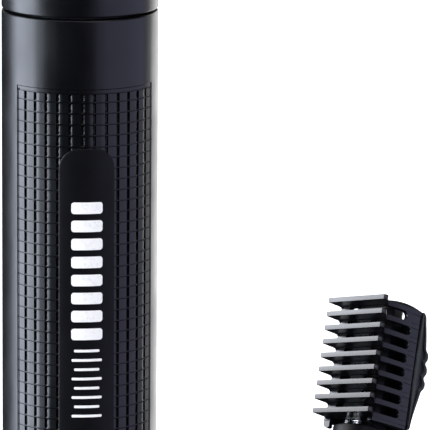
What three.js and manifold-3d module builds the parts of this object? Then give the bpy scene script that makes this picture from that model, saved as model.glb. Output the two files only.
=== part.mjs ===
// Cordless beard trimmer: a round handle with a twist power collar and a pull-off beard head, and beside
// it a slim detail head that stands on its own coupling skirt and wears a nine-tooth guide comb.
// Millimetres, +Z up. The origin is the centre of the handle's flat bottom; the label faces -Y.
import * as THREE from "three";
import { mergeVertices } from "three/addons/utils/BufferGeometryUtils.js";
import Module from "manifold-3d";

const wasm = await Module();
wasm.setup();

// ---- driving dimensions ----
const GAP = 0.3; // clearance left between neighbouring pieces
const BODY_R = 16; // outside radius of handle, collar and coupling skirt
const TUBE_IN_R = 13.9;
const SEAM_Z = 119; // joint between grip tube and power collar
const CAP_H = 4;
const EDGE = 0.5; // chamfer on the visible round edges
const FACETS = 48; // sides of the outer round surfaces
const INNER_FACETS = 24;
const PIN_FACETS = 12;

const LABEL = { width: 11.8, bottom: 26, top: 92.7, corner: 4.3, depth: 1 };
const PORT = { y: 7.5, width: 9, height: 3.2 };
const LIGHT = { z: 17, r: 0.9 };
const CELL = { r: 7, y: 3, bottom: 24, top: 73 };
const BOARD = { halfWidth: 9, y: -10.1, thick: 1.2, bottom: 14, top: 109 };
const MOTOR = { r: 10.2, flat: 7.7, bottom: 84, top: 108 };
const SPIGOT = { r: 13, inR: 11, flangeTop: 118.9, top: 133.4 };
const COLLAR_H = 9.3;
const ECCENTRIC = { throw: 1.2, pinR: 0.8, bottom: 116.3, discTop: 121, pinTop: 129 };

const HEAD_Z = SEAM_Z + 10; // lower edge of the beard head
const HEAD_TOP = 148;
const HEAD_TOP_HALF = { x: 16.8, front: 4.4, back: 8.2 };
const SHOULDER_Z = [133, 141.5]; // between these heights the head's front slopes back to the blades
const BLADE_AT = { y: -4.2, z: 147, tilt: THREE.MathUtils.degToRad(18) };
const BLADE_PITCH = 1.45;
const PIVOT = { y: 2.4, z: 138.8 };

const DETAIL_X = 56.9; // the detail head stands here, beside the handle
const DETAIL_BEND_Z = 10.2; // height where its neck starts to lean
const LEAN = THREE.MathUtils.degToRad(28.6);
const LEAN_HEADING = THREE.MathUtils.degToRad(25.2); // from +Y towards +X
const COMB_TWIST = THREE.MathUtils.degToRad(-21.8); // contact edge against the lean frame's X axis
const NECK_R = 5.6;
const NECK_IN_COMB = { x: -8, y: 8.9 }; // neck axis, seen from the comb's corner
const TOOTH = { count: 9, pitch: 3.04, thick: 1, first: 20.3, length: 14.3 };
const SLEEVE = { left: -14.1, front: 4.1, cornerX: -1.8, heel: [1.3, 12.9], back: 14.2, wall: 1.1 };
const SUPPORT = { left: -12.3, right: -2.8, front: 6.9, back: 12.7, bottom: 18.4, top: 44.9 };
const ROD_TOP = 37.5; // upper end of the detail head's drive rod, along the neck
const CUTTER_X = -8.2; // middle of the detail cutters across the comb

// ---- materials ----
const finish = (color, roughness, metalness = 0) =>
  new THREE.MeshStandardMaterial({ color, roughness, metalness });
const satinBlack = finish(0x1b1c20, 0.38);
const glossBlack = finish(0x0d0d10, 0.2);
const mattBlack = finish(0x17181b, 0.6);
const steel = finish(0xb9bcc2, 0.25, 1);
const darkSteel = finish(0x6d7076, 0.4, 1);
const innerPlastic = finish(0x3a3d42, 0.6);
const cellWrap = finish(0x2f6f4f, 0.4);
const boardGreen = finish(0x1f5a34, 0.5);
const sealRubber = finish(0x141414, 0.85);
const clearLight = finish(0xdfe6e8, 0.15);
const magnetGrey = finish(0x50545a, 0.45, 0.8);

// ---- geometry helpers ----
// A closed geometry as a solid, turned face out where its outline ran the other way.
function solid(geometry) {
  const bare = geometry.index ? geometry.toNonIndexed() : geometry.clone();
  bare.deleteAttribute("normal");
  bare.deleteAttribute("uv");
  const merged = mergeVertices(bare, 1e-4);
  const make = () =>
    new wasm.Manifold(
      new wasm.Mesh({
        numProp: 3,
        vertProperties: merged.attributes.position.array,
        triVerts: new Uint32Array(merged.index.array),
      }),
    );
  const made = make();
  if (made.volume() >= 0) return made;
  const order = merged.index.array;
  for (let i = 0; i < order.length; i += 3) [order[i + 1], order[i + 2]] = [order[i + 2], order[i + 1]];
  return make();
}

const join = (first, ...rest) => rest.reduce((sum, piece) => sum.add(piece), first);
const cut = (first, ...rest) => rest.reduce((left, tool) => left.subtract(tool), first);

function box(x, y, z) {
  const shape = new THREE.BoxGeometry(x[1] - x[0], y[1] - y[0], z[1] - z[0]);
  shape.translate((x[0] + x[1]) / 2, (y[0] + y[1]) / 2, (z[0] + z[1]) / 2);
  return solid(shape);
}

function rod(radius, z, at = [0, 0], facets = PIN_FACETS) {
  const shape = new THREE.CylinderGeometry(radius, radius, z[1] - z[0], facets);
  shape.rotateX(Math.PI / 2);
  shape.translate(at[0], at[1], (z[0] + z[1]) / 2);
  return solid(shape);
}

// A rod along Y.
function crossRod(radius, y, at, facets = PIN_FACETS) {
  const shape = new THREE.CylinderGeometry(radius, radius, y[1] - y[0], facets);
  shape.translate(at[0], (y[0] + y[1]) / 2, at[1]);
  return solid(shape);
}

// A profile of [radius, height] points turned about Z; it closes on itself or ends on the axis.
function turned(profile, facets = FACETS) {
  const points = profile.map(([r, z]) => new THREE.Vector2(r, z));
  const first = profile[0];
  if (first[0] > 0) points.push(new THREE.Vector2(...first));
  const shape = new THREE.LatheGeometry(points, facets);
  shape.rotateX(Math.PI / 2);
  return solid(shape);
}

const tube = (outR, inR, z, facets = FACETS) =>
  turned([[inR, z[0]], [outR, z[0]], [outR, z[1]], [inR, z[1]]], facets);

// An outline in XY raised from z[0] to z[1].
function raised(points, z) {
  const outline = new THREE.Shape(points.map(([x, y]) => new THREE.Vector2(x, y)));
  const shape = new THREE.ExtrudeGeometry(outline, { depth: z[1] - z[0], bevelEnabled: false });
  shape.translate(0, 0, z[0]);
  return solid(shape);
}

// A round-cornered rectangle in XZ, carried along Y from y[0] to y[1].
function roundedPanel(halfWidth, z, corner, y) {
  const outline = new THREE.Shape();
  outline.moveTo(-halfWidth + corner, z[0]);
  outline.lineTo(halfWidth - corner, z[0]);
  outline.absarc(halfWidth - corner, z[0] + corner, corner, -Math.PI / 2, 0);
  outline.lineTo(halfWidth, z[1] - corner);
  outline.absarc(halfWidth - corner, z[1] - corner, corner, 0, Math.PI / 2);
  outline.lineTo(-halfWidth + corner, z[1]);
  outline.absarc(-halfWidth + corner, z[1] - corner, corner, Math.PI / 2, Math.PI);
  outline.lineTo(-halfWidth, z[0] + corner);
  outline.absarc(-halfWidth + corner, z[0] + corner, corner, Math.PI, 1.5 * Math.PI);
  const shape = new THREE.ExtrudeGeometry(outline, {
    depth: y[1] - y[0],
    bevelEnabled: false,
    curveSegments: 6,
  });
  shape.rotateX(Math.PI / 2);
  shape.translate(0, y[1], 0);
  return solid(shape);
}

const model = new THREE.Group();
model.name = "beard_trimmer";

function add(name, made, material, parent = model) {
  const parts = made.getMesh();
  const shape = new THREE.BufferGeometry();
  shape.setAttribute("position", new THREE.BufferAttribute(parts.vertProperties, 3));
  shape.setIndex(new THREE.BufferAttribute(parts.triVerts, 1));
  shape.computeVertexNormals();
  const mesh = new THREE.Mesh(shape, material);
  mesh.name = name;
  parent.add(mesh);
}

// ---- handle: bottom cap, charging socket, screws ----
const CAP_SCREW = { x: 9.5, headR: 2.4, shankR: 1.2, headZ: [0.4, 1.6], shankTop: 12 };
const capSides = [["left", -1], ["right", 1]];

function bottomCap() {
  const plugR = TUBE_IN_R - GAP;
  let cap = turned([
    [0, 0], [BODY_R - EDGE * 2, 0], [BODY_R, EDGE * 2], [BODY_R, CAP_H], [plugR, CAP_H],
    [plugR, 2 * CAP_H], [plugR - 1.8, 2 * CAP_H], [plugR - 1.8, 3], [0, 3],
  ]);
  const halfW = PORT.width / 2 + GAP;
  const halfH = PORT.height / 2 + GAP;
  cap = cut(cap, box([-halfW, halfW], [PORT.y - halfH, PORT.y + halfH], [-1, CAP_H]));
  for (const [, side] of capSides) {
    const at = [side * CAP_SCREW.x, 0];
    cap = cut(
      cap,
      rod(CAP_SCREW.headR + GAP, [-1, CAP_SCREW.headZ[1] + GAP], at, INNER_FACETS),
      rod(CAP_SCREW.shankR + GAP, [0, CAP_H], at),
    );
  }
  return cap;
}

function chargingSocket() {
  const wall = 0.4;
  const halfW = PORT.width / 2;
  const halfH = PORT.height / 2;
  const shell = box([-halfW, halfW], [PORT.y - halfH, PORT.y + halfH], [0.4, 8]);
  const mouth = box(
    [-halfW + wall, halfW - wall],
    [PORT.y - halfH + wall, PORT.y + halfH - wall],
    [0, 6.5],
  );
  const tongue = box([-halfW + 1.6, halfW - 1.6], [PORT.y - 0.35, PORT.y + 0.35], [1.2, 7]);
  return join(cut(shell, mouth), tongue);
}

add("bottom_cap", bottomCap(), satinBlack);
add("charging_socket", chargingSocket(), steel);
for (const [side, sign] of capSides) {
  const at = [sign * CAP_SCREW.x, 0];
  const head = rod(CAP_SCREW.headR, CAP_SCREW.headZ, at, INNER_FACETS);
  const recess = rod(1, [0, CAP_SCREW.headZ[0] + 0.7], at, 6);
  const shank = rod(CAP_SCREW.shankR, [CAP_SCREW.headZ[1] - 0.2, CAP_SCREW.shankTop], at);
  add("cap_screw_" + side, join(cut(head, recess), shank), darkSteel);
}

// ---- handle: grip tube with its label and status light ----
function labelPrism(shrink) {
  const z = [LABEL.bottom + shrink, LABEL.top - shrink];
  return roundedPanel(LABEL.width / 2 - shrink, z, LABEL.corner - shrink, [-BODY_R - 1, -BODY_R / 2]);
}

function gripTube() {
  const z = [CAP_H + GAP, SEAM_Z - GAP];
  const wall = turned([
    [TUBE_IN_R, z[0]], [BODY_R - EDGE, z[0]], [BODY_R, z[0] + EDGE],
    [BODY_R, z[1] - EDGE], [BODY_R - EDGE, z[1]], [TUBE_IN_R, z[1]],
  ]);
  const pocket = cut(labelPrism(0), rod(BODY_R - LABEL.depth, z, [0, 0], FACETS));
  const lightHole = crossRod(LIGHT.r + GAP, [-BODY_R - 1, -BODY_R / 2], [0, LIGHT.z]);
  return cut(wall, pocket, lightHole);
}

function labelPlate() {
  const skin = tube(BODY_R - 0.15, BODY_R - LABEL.depth + GAP, [LABEL.bottom, LABEL.top]);
  return labelPrism(GAP).intersect(skin);
}

add("grip_tube", gripTube(), satinBlack);
add("label_plate", labelPlate(), glossBlack);
add("light_pipe", crossRod(LIGHT.r, [-BODY_R + 0.15, -BODY_R + 4.5], [0, LIGHT.z]), clearLight);

// ---- handle: chassis, cell, board, motor ----
function chassis() {
  const outR = TUBE_IN_R - GAP;
  const cradle = tube(outR, outR - 1.6, [9, 108], INNER_FACETS * 2);
  const back = box([-BODY_R, BODY_R], [2, BODY_R], [8, 109]);
  const bulkheads = [[9, 13], [19, 21], [77, 79]].map((z) => rod(outR, z, [0, 0], INNER_FACETS * 2));
  const frame = join(cradle.intersect(back), ...bulkheads);
  const boardSpace = box(
    [-BODY_R, BODY_R],
    [-BODY_R, BOARD.y + BOARD.thick + GAP],
    [BOARD.bottom - GAP, BOARD.top + 1],
  );
  const socketSpace = box([-6, 6], [PORT.y - 3, PORT.y + 3], [8, 9.5]);
  const wireSpace = box([-4, 4], [-BODY_R / 2, -BODY_R / 4], [8, 90]);
  const holes = capSides.map(([, side]) =>
    rod(CAP_SCREW.shankR + GAP, [8, 13.5], [side * CAP_SCREW.x, 0]),
  );
  return cut(frame, boardSpace, socketSpace, wireSpace, ...holes);
}

function circuitBoard() {
  const y = [BOARD.y, BOARD.y + BOARD.thick];
  const board = box([-BOARD.halfWidth, BOARD.halfWidth], y, [BOARD.bottom, BOARD.top]);
  const chip = box([-3, 3], [y[0] - 1.2, y[0] + 0.2], [40, 46]);
  const coil = box([-4, 1], [y[0] - 1.8, y[0] + 0.2], [54, 59]);
  const lamp = box([-1, 1], [y[0] - 0.8, y[0] + 0.2], [LIGHT.z - 1, LIGHT.z + 1]);
  return join(board, chip, coil, lamp);
}

function flattened(radius, z) {
  const slab = box([-BODY_R, BODY_R], [-MOTOR.flat, MOTOR.flat], [z[0] - 1, z[1] + 1]);
  return rod(radius, z, [0, 0], INNER_FACETS).intersect(slab);
}

const MOTOR_SCREW = { x: 6.2, shankR: 0.8, headR: 1.8, headZ: [112.1, 113.3] };

function motorCan() {
  const boss = rod(3, [MOTOR.top - 0.2, MOTOR.top + 1.4], [0, 0], INNER_FACETS);
  const holes = capSides.map(([, side]) =>
    rod(MOTOR_SCREW.shankR + GAP, [MOTOR.top - 3, MOTOR.top + 1], [side * MOTOR_SCREW.x, 0]),
  );
  return cut(join(flattened(MOTOR.r, [MOTOR.bottom, MOTOR.top]), boss), ...holes);
}

function motorMount() {
  const plate = rod(TUBE_IN_R - GAP, [109.8, 111.8], [0, 0], INNER_FACETS * 2);
  const holes = capSides.map(([, side]) =>
    rod(MOTOR_SCREW.shankR + GAP, [109, 113], [side * MOTOR_SCREW.x, 0]),
  );
  return cut(plate, rod(3.3, [109, 113], [0, 0], INNER_FACETS), ...holes);
}

add("chassis", chassis(), innerPlastic);
add(
  "battery_cell",
  join(
    rod(CELL.r, [CELL.bottom, CELL.top], [0, CELL.y], INNER_FACETS),
    rod(2.5, [CELL.top - 0.2, CELL.top + 1], [0, CELL.y]),
  ),
  cellWrap,
);
const tabY = [BOARD.y + BOARD.thick + GAP, CELL.y + 3];
add("battery_tab_lower", box([-2.5, 2.5], tabY, [CELL.bottom - 0.6, CELL.bottom - GAP]), steel);
add("battery_tab_upper", box([-2.5, 2.5], tabY, [CELL.top + 1.3, CELL.top + 1.6]), steel);
add("circuit_board", circuitBoard(), boardGreen);
add("motor_can", motorCan(), steel);
add("motor_end_bell", flattened(MOTOR.r - 0.4, [MOTOR.bottom - 3.3, MOTOR.bottom - GAP]), mattBlack);
add("motor_mount", motorMount(), innerPlastic);
for (const [side, sign] of capSides) {
  const at = [sign * MOTOR_SCREW.x, 0];
  const shank = rod(MOTOR_SCREW.shankR, [MOTOR.top - 2.5, MOTOR_SCREW.headZ[0] + 0.1], at);
  add("motor_screw_" + side, join(rod(MOTOR_SCREW.headR, MOTOR_SCREW.headZ, at), shank), darkSteel);
}

// ---- handle: coupling spigot, seal, power collar ----
const GROOVE = { z: [130.2, 131.8], r: 12.2 };

function couplingSpigot() {
  const flangeR = TUBE_IN_R - GAP;
  return turned([
    [SPIGOT.inR, 112.2], [flangeR, 112.2], [flangeR, SPIGOT.flangeTop], [SPIGOT.r, SPIGOT.flangeTop],
    [SPIGOT.r, GROOVE.z[0]], [GROOVE.r, GROOVE.z[0]], [GROOVE.r, GROOVE.z[1]],
    [SPIGOT.r, GROOVE.z[1]], [SPIGOT.r, SPIGOT.top - EDGE], [SPIGOT.r - EDGE, SPIGOT.top],
    [SPIGOT.inR, SPIGOT.top],
  ], INNER_FACETS * 2);
}

function sealRing() {
  const section = 0.5;
  const middle = GROOVE.r + GAP + section;
  const torus = new THREE.TorusGeometry(middle, section, 8, INNER_FACETS);
  torus.translate(0, 0, (GROOVE.z[0] + GROOVE.z[1]) / 2);
  return solid(torus);
}

const MAGNET = { halfWidth: 1.8, y: [-14.9, -13.9], z: [122, 126] };

function powerCollar() {
  const z = [SEAM_Z + GAP, SEAM_Z + GAP + COLLAR_H];
  const inR = SPIGOT.r + 0.4;
  const ring = turned([
    [inR, z[0]], [BODY_R - EDGE, z[0]], [BODY_R, z[0] + EDGE],
    [BODY_R, z[1] - EDGE], [BODY_R - EDGE, z[1]], [inR, z[1]],
  ]);
  const w = MAGNET.halfWidth + GAP;
  const pocket = box([-w, w], [MAGNET.y[0] - GAP, -inR + 2], [MAGNET.z[0] - GAP, MAGNET.z[1] + GAP]);
  return cut(ring, pocket);
}

add("coupling_spigot", couplingSpigot(), innerPlastic);
add("spigot_seal", sealRing(), sealRubber);
add("power_collar", powerCollar(), satinBlack);
add("collar_magnet", box([-MAGNET.halfWidth, MAGNET.halfWidth], MAGNET.y, MAGNET.z), magnetGrey);
add("collar_sensor", box([-1.8, 1.8], [-10.5, -9.5], [114, 125]), mattBlack);

// ---- motor rotor: shaft and eccentric ----
function eccentric() {
  const disc = rod(4, [ECCENTRIC.bottom, ECCENTRIC.discTop], [0, 0], INNER_FACETS);
  const bore = rod(1 + GAP, [ECCENTRIC.bottom - 1, ECCENTRIC.discTop - 1.2]);
  const pin = rod(ECCENTRIC.pinR, [ECCENTRIC.discTop - 0.5, ECCENTRIC.pinTop], [0, ECCENTRIC.throw]);
  return join(cut(disc, bore), pin);
}

add("motor_shaft", rod(1, [MOTOR.top + 1.7, ECCENTRIC.discTop - 1.5]), steel);
add("eccentric_cam", eccentric(), mattBlack);

// ---- beard head ----
// A round tube that flattens into a rounded rectangle as it rises; inset moves its wall inwards.
function headForm(inset, z) {
  const rise = z[1] - z[0];
  const shape = new THREE.CylinderGeometry(1, 1, rise, 40, 9);
  shape.rotateX(Math.PI / 2);
  shape.translate(0, 0, (z[0] + z[1]) / 2);
  const place = shape.attributes.position;
  for (let i = 0; i < place.count; i++) {
    const height = place.getZ(i);
    const t = THREE.MathUtils.smoothstep(height, HEAD_Z + 3, HEAD_TOP);
    const tFront = THREE.MathUtils.smoothstep(height, ...SHOULDER_Z);
    const inFront = place.getY(i) < 0;
    const depth = inFront ? HEAD_TOP_HALF.front : HEAD_TOP_HALF.back;
    const halfX = THREE.MathUtils.lerp(BODY_R, HEAD_TOP_HALF.x, t) - inset;
    const halfY = THREE.MathUtils.lerp(BODY_R, depth, inFront ? tFront : t) - inset;
    const power = THREE.MathUtils.lerp(1, 0.55, t);
    const bent = (value) => Math.sign(value) * Math.abs(value) ** power;
    place.setXY(i, bent(place.getX(i)) * halfX, bent(place.getY(i)) * halfY);
  }
  return solid(shape);
}

// A solid in the blade frame (x across, y back, z up the blade), carried to its place on the head.
function onBlade(made) {
  const turn = (BLADE_AT.tilt * 180) / Math.PI;
  return made.rotate([turn, 0, 0]).translate([0, BLADE_AT.y, BLADE_AT.z]);
}

// A toothed cutter plate: a straight heel with pointed teeth along its upper edge.
function toothedPlate(halfWidth, y, z, toothLength, pitch) {
  const count = Math.floor((2 * halfWidth) / pitch);
  const start = (-count * pitch) / 2;
  const root = z[1] - toothLength;
  const points = [[start, z[0]], [-start, z[0]], [-start, root]];
  for (let i = count - 1; i >= 0; i--) {
    const left = start + i * pitch;
    points.push([left + pitch * 0.82, root], [left + pitch * 0.66, z[1]]);
    points.push([left + pitch * 0.34, z[1]], [left + pitch * 0.18, root]);
  }
  points.push([start, root]);
  const outline = new THREE.Shape(points.map(([px, pz]) => new THREE.Vector2(px, pz)));
  const shape = new THREE.ExtrudeGeometry(outline, { depth: y[1] - y[0], bevelEnabled: false });
  shape.rotateX(Math.PI / 2);
  shape.translate(0, y[1], 0);
  return solid(shape);
}

const FIXED = { y: [-0.5, 0.5], z: [-6, 7.5] };
const MOVING = { y: [0.8, 1.5], z: [-1, 7] };
const SEAT = { halfX: 15.3, innerX: 5.2, y: [0.8, 4.2], z: [-6.6, -2] }; // two pads the blade screws hold
const WINDOW_X = 15; // half width of the opening behind the blades
const BLADE_SCREW = { x: 10.5, z: -3.6, r: 0.8, headR: 1.7 };

function headHousing() {
  const outer = headForm(0, [HEAD_Z, HEAD_TOP]);
  const socket = rod(SPIGOT.r + 0.7, [HEAD_Z - 1, SPIGOT.top + 0.4], [0, 0], INNER_FACETS * 2);
  const hollow = headForm(1.8, [SPIGOT.top - 0.5, HEAD_TOP - 2.2]);
  const seatCut = onBlade(box([-30, 30], [-20, SEAT.y[0]], [SEAT.z[0], 30]));
  const window = onBlade(box([-WINDOW_X, WINDOW_X], [0, 5.8], [-6, 30]));
  const seats = cut(
    box([-SEAT.halfX, SEAT.halfX], SEAT.y, SEAT.z),
    box([-SEAT.innerX, SEAT.innerX], [0, 6], [-8, 0]),
  );
  const trimmedSeats = onBlade(seats).intersect(headForm(0.4, [HEAD_Z, HEAD_TOP]));
  const holes = [-1, 1].map((side) =>
    onBlade(crossRod(BLADE_SCREW.r + GAP, [-2, 5], [side * BLADE_SCREW.x, BLADE_SCREW.z])),
  );
  return cut(join(cut(outer, socket, hollow, seatCut, window), trimmedSeats), ...holes);
}

function fixedBlade() {
  const holes = [-1, 1].map((side) =>
    crossRod(BLADE_SCREW.r + GAP, [-2, 2], [side * BLADE_SCREW.x, BLADE_SCREW.z]),
  );
  return onBlade(cut(toothedPlate(16, FIXED.y, FIXED.z, 3.6, BLADE_PITCH), ...holes));
}

function bladeCarrier() {
  const fork = box([-3.8, 3.8], [1.8, 4.3], [-3.4, 2.6]);
  const slot = box([-1.65, 1.65], [1, 5], [-4, 0.8]);
  const wings = box([-9, 9], [1.8, 3], [0.9, 2.6]);
  return onBlade(join(cut(fork, slot), wings));
}

const LEVER = { halfY: 2.4, pinR: 1, forkGap: 3.6, forkX: 5.2, foot: [125.4, 129.8] };
const LEVER_Y = [PIVOT.y - 2.2, PIVOT.y + 2.2];

function driveLever() {
  const { forkX, forkGap, halfY } = LEVER;
  const [footLow, footHigh] = LEVER.foot;
  const foot = box([-forkX, forkX], [-halfY, halfY], [footLow, footHigh + 2]);
  const slot = box([-forkGap, forkGap], [-2 * halfY, 2 * halfY], [footLow - 1, footHigh]);
  const column = box([-1.5, 1.5], LEVER_Y, [footHigh + 1, 143.5]);
  const tongue = box([-1.2, 1.2], [-1.9, LEVER_Y[0] + 1], [142.4, 147.4]);
  const bore = crossRod(LEVER.pinR + 0.05, [-5, 9], [0, PIVOT.z], INNER_FACETS);
  const hub = crossRod(2.2, LEVER_Y, [0, PIVOT.z], INNER_FACETS);
  return cut(join(cut(foot, slot), column, tongue, hub), bore);
}

function driveBracket() {
  const plate = rod(SPIGOT.r - 0.6, [134.2, 135.4], [0, 0], INNER_FACETS * 2);
  const opening = box([-5, 5], [-0.4, 5], [134, 137]);
  const ears = [[-1.9, -0.3], [5.1, 6.7]].map((y) => box([-2.6, 2.6], y, [135.2, PIVOT.z + 2]));
  const bore = crossRod(LEVER.pinR + GAP, [-6, 9], [0, PIVOT.z]);
  return cut(join(cut(plate, opening), ...ears), bore).intersect(headForm(2.1, [134, HEAD_TOP]));
}

function tensionSpring() {
  const leaf = box([-7, 7], [4.9, 5.3], [-1.2, 2.4]);
  return onBlade(cut(leaf, box([-4.4, 4.4], [4, 6], [-2, 1.2])));
}

add("head_housing", headHousing(), satinBlack);
add("fixed_blade", fixedBlade(), steel);
add("moving_blade", onBlade(toothedPlate(13.8, MOVING.y, MOVING.z, 3.2, BLADE_PITCH)), steel);
add("blade_carrier", bladeCarrier(), mattBlack);
add("tension_spring", tensionSpring(), steel);
add("drive_bracket", driveBracket(), innerPlastic);
add("lever_pin", crossRod(LEVER.pinR, [-1.7, 6.5], [0, PIVOT.z], INNER_FACETS), steel);
add("drive_lever", driveLever(), innerPlastic);
for (const [side, sign] of capSides) {
  const at = [sign * BLADE_SCREW.x, BLADE_SCREW.z];
  const head = crossRod(BLADE_SCREW.headR, [-1.6, -0.8], at);
  add("blade_screw_" + side, onBlade(join(head, crossRod(BLADE_SCREW.r, [-0.9, 4], at))), darkSteel);
}

// ---- detail head, on its own coupling skirt ----
const detail = new THREE.Group();
detail.position.x = DETAIL_X;
model.add(detail);

// Carries a solid from the comb frame (x along the contact edge, y inwards, z along the neck) to the
// detail head's frame: the neck leans by LEAN towards LEAN_HEADING from the bend above the skirt.
function onComb(made) {
  const degrees = THREE.MathUtils.radToDeg;
  return made
    .translate([-NECK_IN_COMB.x, -NECK_IN_COMB.y, 0])
    .rotate([0, 0, degrees(COMB_TWIST)])
    .rotate([-degrees(LEAN), 0, 0])
    .rotate([0, 0, -degrees(LEAN_HEADING)])
    .translate([0, 0, DETAIL_BEND_Z]);
}

const neckAt = [NECK_IN_COMB.x, NECK_IN_COMB.y];
const toothMiddle = (i) => TOOTH.first + i * TOOTH.pitch;
const combBottom = TOOTH.first - 1.3;
const combTop = toothMiddle(TOOTH.count - 1) + 0.5;
const SKIRT_TOP = 9;

function detailSkirt() {
  return turned([
    [SPIGOT.r + 0.7, 0], [BODY_R - EDGE, 0], [BODY_R, EDGE], [BODY_R, SKIRT_TOP - EDGE / 2],
    [BODY_R - EDGE / 2, SKIRT_TOP], [SPIGOT.r + 0.7, SKIRT_TOP],
  ]);
}

// The support is a rounded bar; corner is the radius of its long edges.
function supportBar(z, corner = 1.8) {
  const { left, right, front, back } = SUPPORT;
  const points = [];
  const corners = [[right, front, -90], [right, back, 0], [left, back, 90], [left, front, 180]];
  for (const [x, y, start] of corners) {
    const cx = x + (x === left ? corner : -corner);
    const cy = y + (y === front ? corner : -corner);
    for (let step = 0; step <= 4; step++) {
      const angle = THREE.MathUtils.degToRad(start + (step * 90) / 4);
      points.push([cx + corner * Math.cos(angle), cy + corner * Math.sin(angle)]);
    }
  }
  return raised(points, z);
}

function detailHousing() {
  const base = SKIRT_TOP + GAP;
  const dome = turned([
    [0, base], [BODY_R - EDGE / 2, base], [BODY_R, base + EDGE / 2], [BODY_R, 10.4], [15.2, 12],
    [13.2, 13.6], [10.2, 15], [7, 16], [0, 16.4],
  ]);
  const under = turned([[0, base - 1], [13.7, base - 1], [13.4, 10.6], [11.4, 12.2], [8, 13.4], [0, 14]]);
  const floor = box([-BODY_R, BODY_R], [-BODY_R, BODY_R], [base, 60]);
  const neck = onComb(rod(NECK_R, [-4, SUPPORT.bottom], neckAt, INNER_FACETS * 2)).intersect(floor);
  const bar = supportBar([SUPPORT.bottom - 0.5, SUPPORT.top]);
  const bore = onComb(rod(2.2, [-6, ROD_TOP + 1.1], neckAt, INNER_FACETS));
  const slotX = [CUTTER_X - 1.6, CUTTER_X + 1.6];
  const bladeSlot = onComb(box(slotX, [SUPPORT.front - 1, neckAt[1]], [26, 38]));
  return cut(join(dome, neck, onComb(bar)), under, bore, bladeSlot);
}

// A narrow cutter with teeth on both long edges, lying flat in front of the support.
function edgeCutter(halfWidth, y, z, toothLength, pitch) {
  const count = Math.floor((z[1] - z[0]) / pitch);
  const root = halfWidth - toothLength;
  const side = (sign) => {
    const edge = [];
    for (let i = 0; i < count; i++) {
      const low = z[0] + i * pitch;
      edge.push([sign * root, low + pitch * 0.15], [sign * halfWidth, low + pitch * 0.35]);
      edge.push([sign * halfWidth, low + pitch * 0.65], [sign * root, low + pitch * 0.85]);
    }
    return edge;
  };
  const points = [[-root, z[0]], [root, z[0]], ...side(1), [root, z[1]], [-root, z[1]]];
  points.push(...side(-1).reverse());
  const outline = new THREE.Shape(points.map(([px, pz]) => new THREE.Vector2(px, pz)));
  const shape = new THREE.ExtrudeGeometry(outline, { depth: y[1] - y[0], bevelEnabled: false });
  shape.rotateX(Math.PI / 2);
  shape.translate(CUTTER_X, y[1], 0);
  return solid(shape);
}

const CUTTER_FRONT = SLEEVE.front + SLEEVE.wall + GAP;
const DETAIL_FIXED_Y = [CUTTER_FRONT, CUTTER_FRONT + 0.4];
const DETAIL_MOVING_Y = [DETAIL_FIXED_Y[1] + GAP, DETAIL_FIXED_Y[1] + GAP + 0.4];

// The moving cutter carries a foot that passes through the support's slot to the drive rod.
function detailMovingBlade() {
  const plate = edgeCutter(2.3, DETAIL_MOVING_Y, [21.4, 40.4], 0.9, 1.25);
  const foot = box([CUTTER_X - 1, CUTTER_X + 1], [DETAIL_MOVING_Y[1] - 0.2, neckAt[1] - 1.4], [31, 34]);
  return onComb(join(plate, foot));
}

// The rear face is a shallow arc from the sleeve's corner to its heel; inset moves it inwards.
function rearFace(inset, steps = 4) {
  const [heelX, heelY] = SLEEVE.heel;
  const run = [heelX - SLEEVE.cornerX, heelY - SLEEVE.front];
  const chord = Math.hypot(...run);
  const outward = [run[1] / chord, -run[0] / chord];
  const bulge = 0.3;
  return Array.from({ length: steps + 1 }, (_, i) => {
    const t = i / steps;
    const out = bulge * 4 * t * (1 - t) - inset;
    return [
      SLEEVE.cornerX + run[0] * t + outward[0] * out,
      SLEEVE.front + run[1] * t + outward[1] * out,
    ];
  });
}

function sleeveOutline(inset) {
  const left = SLEEVE.left + inset;
  const front = SLEEVE.front + inset;
  const back = SLEEVE.back - inset;
  const rear = rearFace(inset).filter(([, y]) => y > front + 0.2);
  const corner = [SLEEVE.cornerX - inset * 0.7, front];
  const chamfer = 0.9;
  return [
    [left, front + chamfer], [left + chamfer, front], corner, ...rear,
    [0.4 - inset, back], [left + chamfer, back], [left, back - chamfer],
  ];
}

// Nine teeth stand on a slotted sleeve that slips over the support; thumb ridges cross its back.
function guideComb() {
  const toothRoot = SLEEVE.front + 0.3;
  const tooth = [
    [-TOOTH.length, 0], [0, 0], [0.65, 0.73], [-1.9, toothRoot], [SLEEVE.left + 0.6, toothRoot],
  ];
  const sleeve = raised(sleeveOutline(0), [combBottom, combTop]);
  const hollow = raised(sleeveOutline(SLEEVE.wall), [combBottom - 1, combTop + 1]);
  const teeth = Array.from({ length: TOOTH.count }, (_, i) => {
    const half = TOOTH.thick / 2;
    return raised(tooth, [toothMiddle(i) - half, toothMiddle(i) + half]);
  });
  const slots = teeth.slice(1).map((_, i) => {
    const z = [toothMiddle(i) + TOOTH.thick / 2, toothMiddle(i + 1) - TOOTH.thick / 2];
    return box([-11.5, 5], [SLEEVE.front - 1, 10.5], z);
  });
  const openTop = box([-20, -2], [SLEEVE.front + 1.6, 20], [combTop - 2.2, combTop + 1]);
  const ridges = [0, 1, 2].map((i) => {
    const low = toothMiddle(3 + i) - 1;
    return raised([[1, 12.4], [2.5, 13.4], [2.2, 14.6], [0.2, 14]], [low, low + 1.2]);
  });
  return onComb(join(cut(join(sleeve, ...ridges), hollow, ...slots, openTop), ...teeth));
}

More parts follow.
